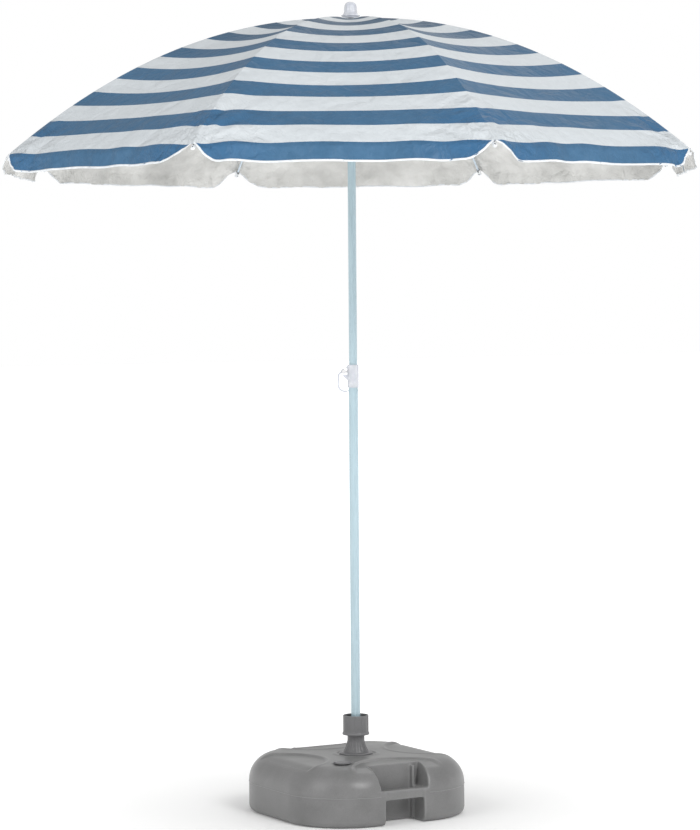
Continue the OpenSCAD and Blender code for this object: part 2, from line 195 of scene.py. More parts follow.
STRIPE_PAIR = 0.111     # one white and one blue stripe, across
WHITE_SHARE = 0.52
SPARE_PAIRS = 10        # keeps the count above 0 in the flap below the rim
TIP_NEAR = 0.03         # cloth this close to a rib's tip is fully creased
TIP_FAR = 0.2           # and beyond this it is smooth
# painted light: a deeper, brighter blue for the glossy creased cloth near a rib's tip
TIP_SHEEN_BLUE = (0.03, 0.118, 0.25, 1)
# painted shade: the blue that the stripes darken to near the crown
CROWN_SHADE_BLUE = (0.024, 0.052, 0.083, 1)
CROWN_SHADE_FROM = (0.35, 0.8)   # from the rim, where the painted shade that deepens the blue towards the crown starts and where it ends
WEAVE_SCALE = 320.0


def near_tip(add):
    """1 in the cloth close to a rib's tip, fading to 0, from the cloth map."""
    uv = add("ShaderNodeSeparateXYZ", {0: add("ShaderNodeUVMap", uv_map="cloth").outputs["UV"]})
    across = math_node(add, "FRACT", math_node(add, "ADD", uv.outputs["X"], 0.5))
    from_middle = math_node(add, "ABSOLUTE", math_node(add, "SUBTRACT", across, 0.5))
    from_rib = math_node(add, "SUBTRACT", RIM_HALF, from_middle)
    to_rim = uv.outputs["Y"]
    far = math_node(add, "SQRT", math_node(add, "MULTIPLY_ADD", from_rib, from_rib,
                                           math_node(add, "MULTIPLY", to_rim, to_rim)))
    return ranged(add, far, (TIP_NEAR, TIP_FAR), (1.0, 0.0))


def crumple_height(add, where):
    """Soft creases in cloth that has been folded: ridges of two sizes."""
    warp = add("ShaderNodeTexNoise", {"Vector": where, "Scale": 6.0, "Detail": 2.0}).outputs["Color"]
    big = add("ShaderNodeTexVoronoi", {"Vector": mixed(add, 0.08, where, warp), "Scale": 11.0},
              feature="DISTANCE_TO_EDGE").outputs["Distance"]
    small = add("ShaderNodeTexNoise", {"Vector": where, "Scale": 34.0, "Detail": 4.0,
                                       "Roughness": 0.55, "Distortion": 0.6}).outputs["Fac"]
    edge = math_node(add, "MINIMUM", math_node(add, "MULTIPLY", big, 2.2), 0.5)
    return math_node(add, "MULTIPLY_ADD", small, 0.6, math_node(add, "MULTIPLY", edge, 0.5))


def striped_fabric():
    """Coated cloth, printed with stripes by its distance from the rim (the map's second number), with
    painted shade in the blue near the crown and painted light in it near the ribs' tips.
    """
    m, shader, add, put = new_material("striped_fabric")
    where = place(add)
    cloth = add("ShaderNodeUVMap", uv_map="cloth").outputs["UV"]
    to_rim = add("ShaderNodeSeparateXYZ", {0: cloth}).outputs["Y"]
    tip = near_tip(add)

    wobble = math_node(add, "MULTIPLY_ADD", noise_node(add, where, 9, 2), 0.002, -0.001)
    along = math_node(add, "ADD", to_rim, wobble)
    pairs = math_node(add, "DIVIDE", math_node(add, "ADD", along, STRIPE_PAIR * SPARE_PAIRS),
                      STRIPE_PAIR)
    is_white = math_node(add, "LESS_THAN", math_node(add, "FRACT", pairs), WHITE_SHARE)

    blotch = noise_node(add, where, 5, 4, 0.6)
    fine = noise_node(add, where, 55, 3, 0.7)
    tone = math_node(add, "MULTIPLY_ADD", fine, 0.45, math_node(add, "MULTIPLY", blotch, 0.55))
    blue = ramp(add, tone, [(0.3, (0.036, 0.1, 0.185)), (0.52, (0.047, 0.124, 0.222)),
                            (0.75, (0.066, 0.152, 0.262))])
    white = ramp(add, tone, [(0.3, (0.51, 0.545, 0.57)), (0.55, (0.565, 0.6, 0.625)),
                             (0.8, (0.61, 0.64, 0.665))])
    # painted light: near each rib's tip the blue is pushed to a deeper, brighter shade, standing in for
    # the creased cloth there catching the lamps
    blue = mixed(add, math_node(add, "MULTIPLY", tip, 0.7), blue, TIP_SHEEN_BLUE)
    # painted shade: the blue darkens towards the crown, standing in for the dimmer light on the upper
    # cloth
    blue = mixed(add, ranged(add, to_rim, CROWN_SHADE_FROM, (0.0, 0.75)), blue, CROWN_SHADE_BLUE)
    put(shader, "Base Color", mixed(add, is_white, blue, white))

    rough = ranged(add, blotch, (0.3, 0.7), (0.42, 0.6))
    put(shader, "Roughness", math_node(add, "MULTIPLY_ADD", tip, -0.12, rough))
    shader.inputs["Specular IOR Level"].default_value = 0.26
    weave = math_node(add, "MULTIPLY", *(bands(add, cloth, WEAVE_SCALE, 0.6, 1.0, way)
                                         for way in "XY"))
    first = bump(add, put, shader, weave, 0.12, 0.0003)
    creased = math_node(add, "MULTIPLY", crumple_height(add, where),
                        math_node(add, "MULTIPLY_ADD", tip, 2.2, 1.0))
    bump(add, put, shader, creased, 0.9, 0.008, first)
    return m


def silver_lining():
    """The canopy's coated inner side: dull silver, finely crinkled."""
    m, shader, add, put = new_material("silver_lining")
    where = place(add)
    tip = near_tip(add)
    blotch = noise_node(add, where, 7, 5, 0.6)
    put(shader, "Base Color", ramp(add, blotch, [(0.3, (0.37, 0.37, 0.36)),
                                                 (0.5, (0.53, 0.53, 0.515)),
                                                 (0.72, (0.68, 0.68, 0.665))]))
    shader.inputs["Metallic"].default_value = 0.25
    rough = ranged(add, noise_node(add, where, 24, 3), (0.3, 0.7), (0.34, 0.6))
    put(shader, "Roughness", math_node(add, "MULTIPLY_ADD", tip, -0.05, rough))
    creased = math_node(add, "MULTIPLY", crumple_height(add, where),
                        math_node(add, "MULTIPLY_ADD", tip, 0.8, 1.0))
    bump(add, put, shader, creased, 1.0, 0.009)
    return m


def white_tape():
    """Woven binding tape."""
    m, shader, add, put = new_material("white_tape")
    where = place(add)
    put(shader, "Base Color", ramp(add, noise_node(add, where, 60, 3),
                                   [(0.3, (0.6, 0.63, 0.66)), (0.7, (0.74, 0.76, 0.78))]))
    shader.inputs["Roughness"].default_value = 0.7
    shader.inputs["Sheen Weight"].default_value = 0.2
    ribs = add("ShaderNodeTexWave", {"Vector": where, "Scale": 260.0, "Distortion": 1.0},
               bands_direction="DIAGONAL").outputs["Fac"]
    bump(add, put, shader, ribs, 0.3, 0.0003)
    return m


# ---------------------------------------------------------------- plastic, enamel and metal

GRAIN = 900.0           # scale of the moulded grain


def grain_plastic(name, dark, light, rough):
    """Moulded plastic: a fine grain, soft blotches and convex edges painted paler as a painted
    highlight.
    """
    m, shader, add, put = new_material(name)
    where = place(add)
    blotch = noise_node(add, where, 14, 5, 0.6)
    speck = noise_node(add, where, GRAIN / 2, 2, 0.7)
    tone = math_node(add, "MULTIPLY_ADD", speck, 0.35, math_node(add, "MULTIPLY", blotch, 0.65))
    edge = add("ShaderNodeNewGeometry").outputs["Pointiness"]
    # painted highlight: convex edges, found by their pointiness, are painted paler
    edge_highlight = ranged(add, edge, (0.5, 0.56), (0.0, 0.3))
    pale = (*[min(1, c * 1.6 + 0.04) for c in light], 1)
    put(shader, "Base Color", mixed(add, edge_highlight, ramp(add, tone, [(0.3, dark), (0.7, light)]), pale))
    put(shader, "Roughness", ranged(add, blotch, (0.3, 0.7), (rough - 0.06, rough + 0.07)))
    shader.inputs["Specular IOR Level"].default_value = 0.5
    first = bump(add, put, shader, noise_node(add, where, GRAIN, 2, 0.5), 0.35, 0.00012)
    bump(add, put, shader, noise_node(add, where, 12, 2), 0.25, 0.004, first)
    return m


def painted_tube(name, dark, light, rough=0.26):
    """Glossy enamel on a drawn tube: faint long streaks and a little orange peel."""
    m, shader, add, put = new_material(name)
    where = place(add)
    stretched = add("ShaderNodeMapping", {"Vector": where, "Scale": (60, 60, 3)}).outputs["Vector"]
    streak = noise_node(add, stretched, 3, 4, 0.6)
    put(shader, "Base Color", ramp(add, streak, [(0.3, dark), (0.7, light)]))
    put(shader, "Roughness", ranged(add, streak, (0, 1), (rough - 0.05, rough + 0.1)))
    shader.inputs["Coat Weight"].default_value = 0.3
    shader.inputs["Coat Roughness"].default_value = 0.15
    bump(add, put, shader, noise_node(add, where, 420, 2), 0.15, 0.0002)
    return m


def bright_metal(name, colour, rough):
    """Bare metal with fine scratches along it."""
    m, shader, add, put = new_material(name)
    squeezed = add("ShaderNodeMapping", {"Vector": place(add), "Scale": (1, 1, 9)})
    scratch = noise_node(add, squeezed.outputs["Vector"], 300, 3)
    dull = tuple(c * 0.85 for c in colour)
    put(shader, "Base Color", ramp(add, scratch, [(0.3, dull), (0.7, colour)]))
    shader.inputs["Metallic"].default_value = 1.0
    put(shader, "Roughness", ranged(add, scratch, (0, 1), (rough - 0.05, rough + 0.12)))
    bump(add, put, shader, scratch, 0.2, 0.0001)
    return m


def milky_plastic():
    """Cloudy moulded plastic that lets a little light in."""
    m, shader, add, put = new_material("milky_plastic")
    where = place(add)
    cloud = noise_node(add, where, 90, 3)
    put(shader, "Base Color", ramp(add, cloud, [(0.3, (0.5, 0.52, 0.57)),
                                                (0.7, (0.62, 0.635, 0.68))]))
    put(shader, "Roughness", ranged(add, cloud, (0, 1), (0.16, 0.34)))
    shader.inputs["Subsurface Weight"].default_value = 0.25
    shader.inputs["Subsurface Radius"].default_value = (0.006, 0.006, 0.007)
    shader.inputs["Subsurface Scale"].default_value = 1.0
    shader.inputs["Coat Weight"].default_value = 0.25
    bump(add, put, shader, noise_node(add, where, 500, 2), 0.1, 0.0001)
    return m


MAT = {
    "fabric": striped_fabric(),
    "lining": silver_lining(),
    "tape": white_tape(),
    "base": grain_plastic("base_plastic", (0.14, 0.14, 0.14), (0.205, 0.205, 0.205), 0.36),
    "nut": grain_plastic("nut_plastic", (0.115, 0.115, 0.118), (0.16, 0.16, 0.165), 0.45),
    "dark": grain_plastic("stem_plastic", (0.09, 0.09, 0.092), (0.145, 0.145, 0.15), 0.36),
    "black": grain_plastic("black_plastic", (0.012, 0.012, 0.013), (0.03, 0.03, 0.032), 0.4),
    "tube": painted_tube("tube_enamel", (0.34, 0.455, 0.51), (0.4, 0.52, 0.575)),
    "rib": painted_tube("rib_enamel", (0.48, 0.56, 0.64), (0.58, 0.66, 0.73), 0.3),
    "milky": milky_plastic(),
    "steel": bright_metal("bright_steel", (0.78, 0.78, 0.79), 0.2),
    "rubber": grain_plastic("gasket_rubber", (0.012, 0.012, 0.012), (0.02, 0.02, 0.02), 0.7),
    "water": grain_plastic("water_fill", (0.3, 0.5, 0.6), (0.35, 0.55, 0.66), 0.2),
}


# ---------------------------------------------------------------- mesh helpers

def link(name, mesh, material):
    o = bpy.data.objects.new(name, mesh)
    bpy.context.scene.collection.objects.link(o)
    for m in material if isinstance(material, (list, tuple)) else [material]:
        mesh.materials.append(m)
    return o


def smooth(mesh):
    mesh.polygons.foreach_set("use_smooth", [True] * len(mesh.polygons))


def from_points(name, points, faces, material, uv=None):
    """An object from numpy points (n, 3) and a list of faces; uv is one pair for each point."""
    mesh = bpy.data.meshes.new(name)
    mesh.from_pydata([tuple(p) for p in points], [], faces)
    mesh.validate()
    smooth(mesh)
    if uv is not None:
        layer = mesh.uv_layers.new(name="cloth")
        index = np.zeros(len(mesh.loops), int)
        mesh.loops.foreach_get("vertex_index", index)
        layer.data.foreach_set("uv", np.asarray(uv, float)[index].ravel())
    return link(name, mesh, material)


def apply_all(o):
    """Turns an object's modifiers into its mesh."""
    fresh = bpy.data.meshes.new_from_object(
        o.evaluated_get(bpy.context.evaluated_depsgraph_get()))
    o.modifiers.clear()
    o.data = fresh


def weld(o, distance=1e-5):
    m = o.modifiers.new("weld", "WELD")
    m.merge_threshold = distance
    apply_all(o)


def tube_faces(rings, n):
    """Faces that join rings of n points each, one after the other."""
    return [(i * n + j, i * n + (j + 1) % n, (i + 1) * n + (j + 1) % n, (i + 1) * n + j)
            for i in range(rings - 1) for j in range(n)]


def end_faces(rings, n):
    """The first and the last ring as faces, for a tube made by tube_faces."""
    return [tuple(range(n))[::-1], tuple(range((rings - 1) * n, rings * n))]


def unit(vectors):
    return vectors / np.linalg.norm(vectors, axis=1, keepdims=True)


def lathe(name, profile, material, steps, shape):
    """Turns a closed profile of (radius, height) round Z; shape(angle, r, z) may change r."""
    points = []
    for i in range(steps):
        a = 2 * math.pi * i / steps
        for r, z in profile:
            out = shape(a, r, z)
            points.append((out * math.cos(a), out * math.sin(a), z))
    n = len(profile)
    faces = [(i * n + p, (i + 1) % steps * n + p, (i + 1) % steps * n + (p + 1) % n,
              i * n + (p + 1) % n) for i in range(steps) for p in range(n)]
    return from_points(name, np.array(points), faces, material)


# ---------------------------------------------------------------- canopy: the cloth's shape

VALANCE = 0.045         # length of the flap below the rim
VALANCE_LEAN = math.radians(14)
FLAP_BEND = 0.012       # length of cloth over which the flap turns down
DOME_POWER = 2.1
FABRIC = 0.0005
NOTCH = 0.048           # half width of a notch at the hem
CROWN_Z = high("canopy_panel_1").z
HEM_Z = low("canopy_panel_1").z
RIM_Z = HEM_Z + VALANCE * math.cos(VALANCE_LEAN)
RISE = CROWN_Z - RIM_Z
HOLE_R = 0.008
ACROSS = 34             # columns from a rib to the middle of a panel
ALONG = 112             # rows from the crown to the rim
FLAP = 12               # rows in the valance
SAG = 0.0132            # of a panel's middle, halfway down
OUTER_SAG = 0.0065      # and what it sags more near the rim
FAN_FOLD = 0.0042       # heights of the folds that fan out from a rib's tip
FINE_FOLD = 0.0018
PUCKER = 0.0006         # of a sewn seam
HEM_RIPPLE = 0.0017
FLAP_WAVES = (0.0045, 0.0016)       # long and short waves in the valance
TIP_WAVES = (0.0054, 0.0019)        # and those beside a notch


def dome_z(rho):
    return RIM_Z + RISE * (1 - rho ** DOME_POWER)


def sag(rho):
    """How far the cloth hangs below a straight line between two ribs, at the panel's middle."""
    rise = np.minimum(rho / 0.42, 1)
    fall = np.clip((1 - rho) / 0.34, 0, 1)
    outer = OUTER_SAG * np.exp(-((rho - 0.76) / 0.13) ** 2) * (1 - rho ** 12)
    return (SAG * np.sin(rise * math.pi / 2) * np.sin(fall * math.pi / 2) ** 1.2
            + outer + FABRIC)


def wrinkles(panel, x, y, rho):
    """Height of the folds in one panel. x runs outwards and y across, both in metres."""
    from_rib = rho * RIM_HALF - np.abs(y)
    side = np.where(y < 0, -1.0, 1.0)
    seed = panel * 17.3
    # folds that fan out from each rib's tip
    dx, dy = RIM_MID - x, RIM_HALF - np.abs(y)
    far = np.hypot(dx, dy)
    turn = np.arctan2(dx, np.maximum(dy, 1e-5))
    reach = 0.085 + 0.05 * np.sin(seed + side * 1.7)
    fan = np.sin(turn * (13 + 3 * np.sin(seed * 1.3 + side)) + seed * 2 + side + far * 26)
    total = FAN_FOLD * fan * np.exp(-far / reach) * np.clip(far / 0.03, 0, 1)
    pull = np.sin(turn * (29 + 5 * np.sin(seed + side * 2)) + seed + far * 60)
    total += FINE_FOLD * pull * np.exp(-far / 0.07) * np.clip(far / 0.02, 0, 1)
    # small puckers where the seam is sewn
    sewn = np.sin(x * 220 + 1.3 * np.sin(x * 61 + seed) + side * 2.1)
    total += PUCKER * sewn * np.exp(-from_rib / 0.018) * (0.4 + 0.6 * rho)
    # slack ripples along the hem
    near_hem = np.clip((rho - 0.82) / 0.18, 0, 1) ** 2
    total += HEM_RIPPLE * near_hem * np.sin(y * 38 + seed + 1.4 * np.sin(y * 13 + seed))
    # none on the rib itself
    return total * (1 - np.exp(-(from_rib / 0.012) ** 2))


def flap_wave(panel, y, share):
    """How far the valance stands out from its straight hang, at a share of its length."""
    seed = panel * 5.1
    wave = FLAP_WAVES[0] * np.sin(y * 27 + seed + 1.8 * np.sin(y * 9 + seed * 2))
    wave += FLAP_WAVES[1] * np.sin(y * 88 + seed * 3)
    from_tip = np.maximum(RIM_HALF - np.abs(y), 0)
    wave += TIP_WAVES[0] * np.sin(from_tip * 105 + seed * 2 + share * 2.5) * np.exp(-from_tip / 0.085)
    wave += TIP_WAVES[1] * np.sin(from_tip * 230 + seed + share * 4) * np.exp(-from_tip / 0.1)
    return wave * share ** 1.2


def panel_point(panel, rho, y, flap):
    """Points of a panel in its own directions: outwards, across and up.

    rho is 0 at the crown and 1 at the rim, y the distance from the panel's middle line,
    and flap the length of cloth below the rim.
    """
    x, z = rho * RIM_MID, dome_z(rho)
    half = np.maximum(rho * RIM_HALF, 1e-6)
    belly = 1 - np.clip(np.abs(y) / half, 0, 1) ** 2
    steep = RISE * DOME_POWER * rho ** (DOME_POWER - 1) / RIM_MID
    norm = np.sqrt(1 + steep ** 2)
    out_x, out_z = steep / norm, 1 / norm
    lift = wrinkles(panel, x, y, rho) - sag(rho) * belly * out_z
    x, z = x + lift * out_x, z + lift * out_z
    # the flap turns down over a short bend, then hangs with a slow wave in its hem
    rim_slope = math.atan(RISE * DOME_POWER / RIM_MID)
    hang = math.pi / 2 - VALANCE_LEAN
    u = np.clip(flap / FLAP_BEND, 0, 1)
    chord = (rim_slope + rim_slope + (hang - rim_slope) * (u - u * u / 2)) / 2
    bent, straight = np.minimum(flap, FLAP_BEND), np.maximum(flap - FLAP_BEND, 0)
    down = bent * np.sin(chord) + straight * math.sin(hang)
    out = bent * np.cos(chord) + straight * math.cos(hang)
    out = out + flap_wave(panel, y, np.maximum(flap, 0) / VALANCE)
    return np.stack([x + out, y, z - down], axis=-1)


def to_row(panel, p):
    """Turns a panel's own directions into the frame's. Panel k lies between ribs k and k + 1."""
    a = rib_turn(panel) + HALF
    c, s = math.cos(a), math.sin(a)
    out = p.copy()
    out[..., 0] = p[..., 0] * c - p[..., 1] * s
    out[..., 1] = p[..., 0] * s + p[..., 1] * c
    return out


def rho_rows():
    start = HOLE_R / RIM_R
    return start + (1 - start) * np.linspace(0, 1, ALONG + 1) ** 0.92


def cloth_length():
    """Length of cloth down a panel's middle line from each row to the rim."""
    rho = rho_rows()
    steps = np.hypot(np.diff(rho * RIM_MID), np.diff(dome_z(rho) - sag(rho)))
    return np.concatenate([np.cumsum(steps[::-1])[::-1], [0]])


# The cloth was cut by hand, so some notches are wider on one side: (rib, side) to half width.
WIDE_NOTCH = {(6, -1): 0.074, (6, 1): 0.04, (7, -1): 0.042, (7, 1): 0.052, (5, 1): 0.03}


def notch_half(share, k, side):
    """Half width of rib k's notch on one side, by how far down the valance."""
    wide = WIDE_NOTCH.get((k, side), NOTCH + 0.006 * math.sin(k * 2.3 + side))
    corner = np.clip((share - 0.6) / 0.4, 0, 1)
    wavy = 0.0015 * np.sin(share * 11 + k * 1.9 + side)
    return wide * share ** 0.95 + wavy * share + 0.02 * (1 - np.sqrt(1 - corner ** 2 * 0.998))


def beside(k, side):
    """The panel on one side of rib k."""
    return k if side > 0 else k - 1


# ---------------------------------------------------------------- canopy: gores, tapes and pockets

def half_gore(k, side):
    """Rows of points from rib k to the middle of the panel beside it, with their cloth map."""
    panel = beside(k, side)
    rho = rho_rows()[:, None]
    inward = (1 - np.linspace(0, 1, ACROSS + 1))[None, :]
    y_dome = -side * rho * RIM_HALF * inward
    share = (np.arange(1, FLAP + 1) / FLAP)[:, None]
    y_flap = -side * (RIM_HALF - notch_half(share, k, side)) * inward
    dome = panel_point(panel, rho + 0 * y_dome, y_dome, 0 * y_dome)
    flap = panel_point(panel, 1 + 0 * y_flap, y_flap, VALANCE * share + 0 * y_flap)
    across = np.concatenate([y_dome, y_flap]) + panel
    to_rim = np.concatenate([cloth_length()[:, None] + 0 * y_dome, -VALANCE * share + 0 * y_flap])
    return to_row(panel, np.concatenate([dome, flap])), np.stack([across, to_rim], axis=-1)


def add_grid(points, uv, faces, grid, grid_uv, flip):
    """Adds a grid of points and its faces to the lists."""
    rows, cols = grid.shape[:2]
    first = len(points)
    points.extend(grid.reshape(-1, 3))
    uv.extend(grid_uv.reshape(-1, 2))
    for i in range(rows - 1):
        for j in range(cols - 1):
            a = first + i * cols + j
            quad = (a, a + 1, a + cols + 1, a + cols)
            faces.append(quad[::-1] if flip else quad)


def make_gore(k):
    """The cloth on both sides of rib k, out to the middle of each panel."""
    points, uv, faces = [], [], []
    for side in (1, -1):
        grid, grid_uv = half_gore(k, side)
        add_grid(points, uv, faces, grid, grid_uv, side > 0)
    o = from_points(f"canopy_gore_{k}", np.array(points), faces, [MAT["fabric"], MAT["lining"]], uv)
    weld(o)
    thick = o.modifiers.new("thickness", "SOLIDIFY")
    thick.thickness = FABRIC
    thick.offset = -1
    thick.material_offset = 1
    thick.material_offset_rim = 0
    apply_all(o)
    smooth(o.data)
    o.data.set_sharp_from_angle(angle=math.radians(50))
    return o


TAPE_W = 0.0038
TAPE_T = 0.0013
HEM_STEPS = 60
CUT_STEPS = 25


def edge_path(k, side):
    """The gore's cut edge from the middle of the panel to the rib's tip: hem, then notch."""
    inward = 1 - np.linspace(1, 0, HEM_STEPS)
    y_hem = -side * (RIM_HALF - notch_half(np.array([1.0]), k, side)) * inward
    share = np.linspace(1, 0.03, CUT_STEPS + 1)[1:]
    y_cut = -side * (RIM_HALF - notch_half(share, k, side))
    return np.concatenate([y_hem, y_cut]), np.concatenate([np.ones(HEM_STEPS), share])


def make_tape(k, side, name):
    """Binding tape folded over the edge: a flat tube swept along it."""
    panel = beside(k, side)
    y, share = edge_path(k, side)

    def point(y, down):
        return to_row(panel, panel_point(panel, np.ones_like(y), y, down))

    edge = point(y, VALANCE * share)
    nearby = 0.002
    up = point(y, VALANCE * share - nearby) - edge
    across = point(y + side * nearby, VALANCE * share) - edge
    along = unit(np.gradient(edge, axis=0))
    normal = unit(np.cross(across, up))
    inward = unit(np.cross(normal, along))
    inside = (inward * (up + across)).sum(1, keepdims=True)
    inward *= np.where(inside < 0, -1.0, 1.0)
    h = TAPE_T / 2
    section = [(TAPE_W, h * 0.7), (TAPE_W * 0.5, h), (0.0, h), (-h * 0.8, h * 0.5),
               (-h * 0.8, -h * 0.5), (0.0, -h), (TAPE_W * 0.5, -h), (TAPE_W, -h * 0.7)]
    rng = np.random.default_rng(k * 2 + (side > 0))
    uneven = 1 + 0.05 * np.convolve(rng.standard_normal(len(y)), np.ones(5) / 5, "same")
    rings = [edge + inward * (a * uneven[:, None]) + normal * b for a, b in section]
    points = np.stack(rings, axis=1).reshape(-1, 3)
    ends = [face[::-1] for face in end_faces(len(y), len(section))]
    return from_points(name, points, tube_faces(len(y), len(section)) + ends, MAT["tape"])


POCKET_R = 0.0048
POCKET_L = 0.0105       # half its length
POCKET_OUT = 0.0015     # how far its middle lies beyond the tip's
POCKET_SIDES = 20
POCKET_RINGS = 23
TIP_SLOPE = math.radians(41.75)


def make_pocket(k):
    """The sewn pocket of tape that holds a rib's tip."""
    middle = (low(f"rib_tip_{k}") + high(f"rib_tip_{k}")) / 2
    a = rib_turn(k)
    out, side = Vector((math.cos(a), math.sin(a), 0)), Vector((-math.sin(a), math.cos(a), 0))
    along = out * math.cos(TIP_SLOPE) - Vector((0, 0, math.sin(TIP_SLOPE)))
    up = side.cross(along) * -1
    points = []
    for i in range(POCKET_RINGS):
        u = i / (POCKET_RINGS - 1) * 2 - 1
        r = POCKET_R * max(1 - abs(u) ** 5, 0) ** 0.5 * (1 + 0.05 * math.sin(u * 9 + k))
        r = max(r, 0.0002)
        for j in range(POCKET_SIDES):
            b = 2 * math.pi * j / POCKET_SIDES
            flat = 0.92 + 0.08 * math.cos(2 * b)
            points.append(middle + along * (u * POCKET_L + POCKET_OUT) +
                          (side * math.cos(b) * 1.08 + up * math.sin(b)) * r * flat)
    faces = tube_faces(POCKET_RINGS, POCKET_SIDES) + end_faces(POCKET_RINGS, POCKET_SIDES)
    return from_points(f"tip_pocket_{k}", np.array(points), faces, MAT["tape"])


def dress_canopy():
    for k in range(1, RIBS + 1):
        joint = JOINTS[f"rib_pivot_{k}"]
        gore = make_gore(k)
        tapes = [make_tape(k, side, f"hem_tape_{k}_{tag}") for side, tag in ((1, "left"), (-1, "right"))]
        pocket = make_pocket(k)
        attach(pocket, joint["child"])
        for piece in (gore, *tapes):
            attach(piece, joint["child"])
            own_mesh(piece)
        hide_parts(f"canopy_panel_{k}")


dress_canopy()


# ---------------------------------------------------------------- base

BASE_H = high("base_body").z
BASE_HALF = high("base_body").x
CORNER = 0.15           # radius of the square's corners
SHOULDER = 0.062        # radius of the top's edge
FOOT = 0.014            # and of the bottom's
SOLE_LIFT = 0.002       # how far the middle of the underside is off the floor
MIDDLE = BASE_HALF * 0.98   # an inset that all but closes a ring
GRIP_W = 0.102          # the opening below the carrying bar
POCKET_W = 0.124        # the pocket above it
POCKET_FLARE = 0.008
GRIP_TOP = 0.08
GRIP_H = 0.022          # the bar's height
BAR_D = 0.024           # and its depth
BAR_END = 0.004         # how far it runs into the pocket's sides
GAP_D = 0.036           # from the bar to the pocket's back wall
WEB_X = (0.047, 0.0545)     # the upright web in the pocket
WEB_DEPTH = 0.012
PAST = 0.01             # how far cutters run past what they cut
OVERLAP = 0.001
VOXEL = 0.0022
PART_Z = 0.0685         # height of the mould's parting line
CAP_AT = (low("filler_cap") + high("filler_cap")) / 2
CAP_SEAT = (0.023, 0.027)
ARC_R = 0.1157          # the four arcs pressed into the top, and how far out they are centred
ARC_AT = 0.2107


def outline(inset, steps=40):
    """The base's rounded square, drawn in by inset."""
    r = max(CORNER - inset, 0.0)
    c = BASE_HALF - inset - r
    pts = []
    for q in range(4):
        for i in range(steps + 1):
            a = math.pi / 2 * (q + i / steps)
            cx = c if q in (0, 3) else -c
            cy = c if q in (0, 1) else -c
            pts.append((cx + r * math.cos(a), cy + r * math.sin(a)))
    return pts


def base_profile():
    """(inset, height) from the middle of the underside up and over to the middle of the top."""
    prof = [(MIDDLE, SOLE_LIFT), (0.06, SOLE_LIFT), (0.045, 0.0)]
    prof += [(FOOT * (1 - math.cos(a)), FOOT * (1 - math.sin(a)))
             for a in np.linspace(math.pi / 2, 0, 7)]
    prof += [(0.0, 0.03), (0.0, 0.06)]
    prof += [(SHOULDER * (1 - math.cos(a)), BASE_H - SHOULDER + SHOULDER * math.sin(a))
             for a in np.linspace(0, math.pi / 2, 16)]
    prof += [(i, BASE_H) for i in (0.08, 0.1, 0.13, 0.16, 0.19, MIDDLE)]
    return prof


def block(name, x, y, z, flare=0.0):
    """A plain cutter between two places on each axis; flare widens its top in X."""
    x0, x1 = x
    y0, y1 = sorted(y)
    z0, z1 = z
    p = [(x0, y0, z0), (x1, y0, z0), (x1, y1, z0), (x0, y1, z0),
         (x0 - flare, y0, z1), (x1 + flare, y0, z1), (x1 + flare, y1, z1), (x0 - flare, y1, z1)]
    f = [(3, 2, 1, 0), (4, 5, 6, 7), (0, 1, 5, 4), (1, 2, 6, 5), (2, 3, 7, 6), (3, 0, 4, 7)]
    mesh = bpy.data.meshes.new(name)
    mesh.from_pydata(p, [], f)
    return link(name, mesh, MAT["base"])


def boolean(o, other, operation):
    m = o.modifiers.new("cut", "BOOLEAN")
    m.operation = operation
    m.solver = "EXACT"
    m.object = other
    apply_all(o)
    bpy.data.objects.remove(other)


def cut_grip(o, s):
    """Cuts the pocket and the opening of one grip, then puts its bar and web back; s is 1 or -1."""
    outside, back = s * (BASE_HALF + 2 * PAST), s * (BASE_HALF - BAR_D - GAP_D)
    half, pocket = GRIP_W / 2, POCKET_W / 2
    boolean(o, block("opening", (-half, half), (outside, back), (-PAST, GRIP_TOP - OVERLAP)),
            "DIFFERENCE")
    boolean(o, block("pocket", (-pocket, pocket), (outside, back),
                     (GRIP_TOP - 2 * OVERLAP, BASE_H + PAST), POCKET_FLARE), "DIFFERENCE")
    bar = s * (BASE_HALF - 2 * OVERLAP), s * (BASE_HALF - BAR_D)
    boolean(o, block("bar", (-pocket - BAR_END, pocket + BAR_END), bar,
                     (GRIP_TOP - GRIP_H, GRIP_TOP)), "UNION")
    boolean(o, block("web", WEB_X, (back - s * BAR_END, back + s * WEB_DEPTH),
                     (0.004, BASE_H - 0.008)), "UNION")


def make_base():
    rings = [(outline(i), z) for i, z in base_profile()]
    n = len(rings[0][0])
    points = [(x, y, z) for ring, z in rings for x, y in ring]
    faces = tube_faces(len(rings), n) + end_faces(len(rings), n)
    o = from_points("base_shell", np.array(points), faces, MAT["base"])
    weld(o, 1e-6)
    for s in (-1, 1):
        cut_grip(o, s)
    even = o.modifiers.new("remesh", "REMESH")
    even.mode = "VOXEL"
    even.voxel_size = VOXEL
    apply_all(o)
    soften = o.modifiers.new("soften", "SMOOTH")
    soften.factor = 0.5
    soften.iterations = 7
    apply_all(o)
    shape_top(o)
    smooth(o.data)
    return o


def bell(d, width):
    return np.exp(-(d / width) ** 2)


def step(x, a, b):
    """0 before a, 1 after b, and smooth between."""
    u = np.clip((x - a) / (b - a), 0, 1)
    return u * u * (3 - 2 * u)


def vertex_values(mesh, name):
    values = np.zeros(len(mesh.vertices) * 3)
    mesh.vertices.foreach_get(name, values)
    return values.reshape(-1, 3)


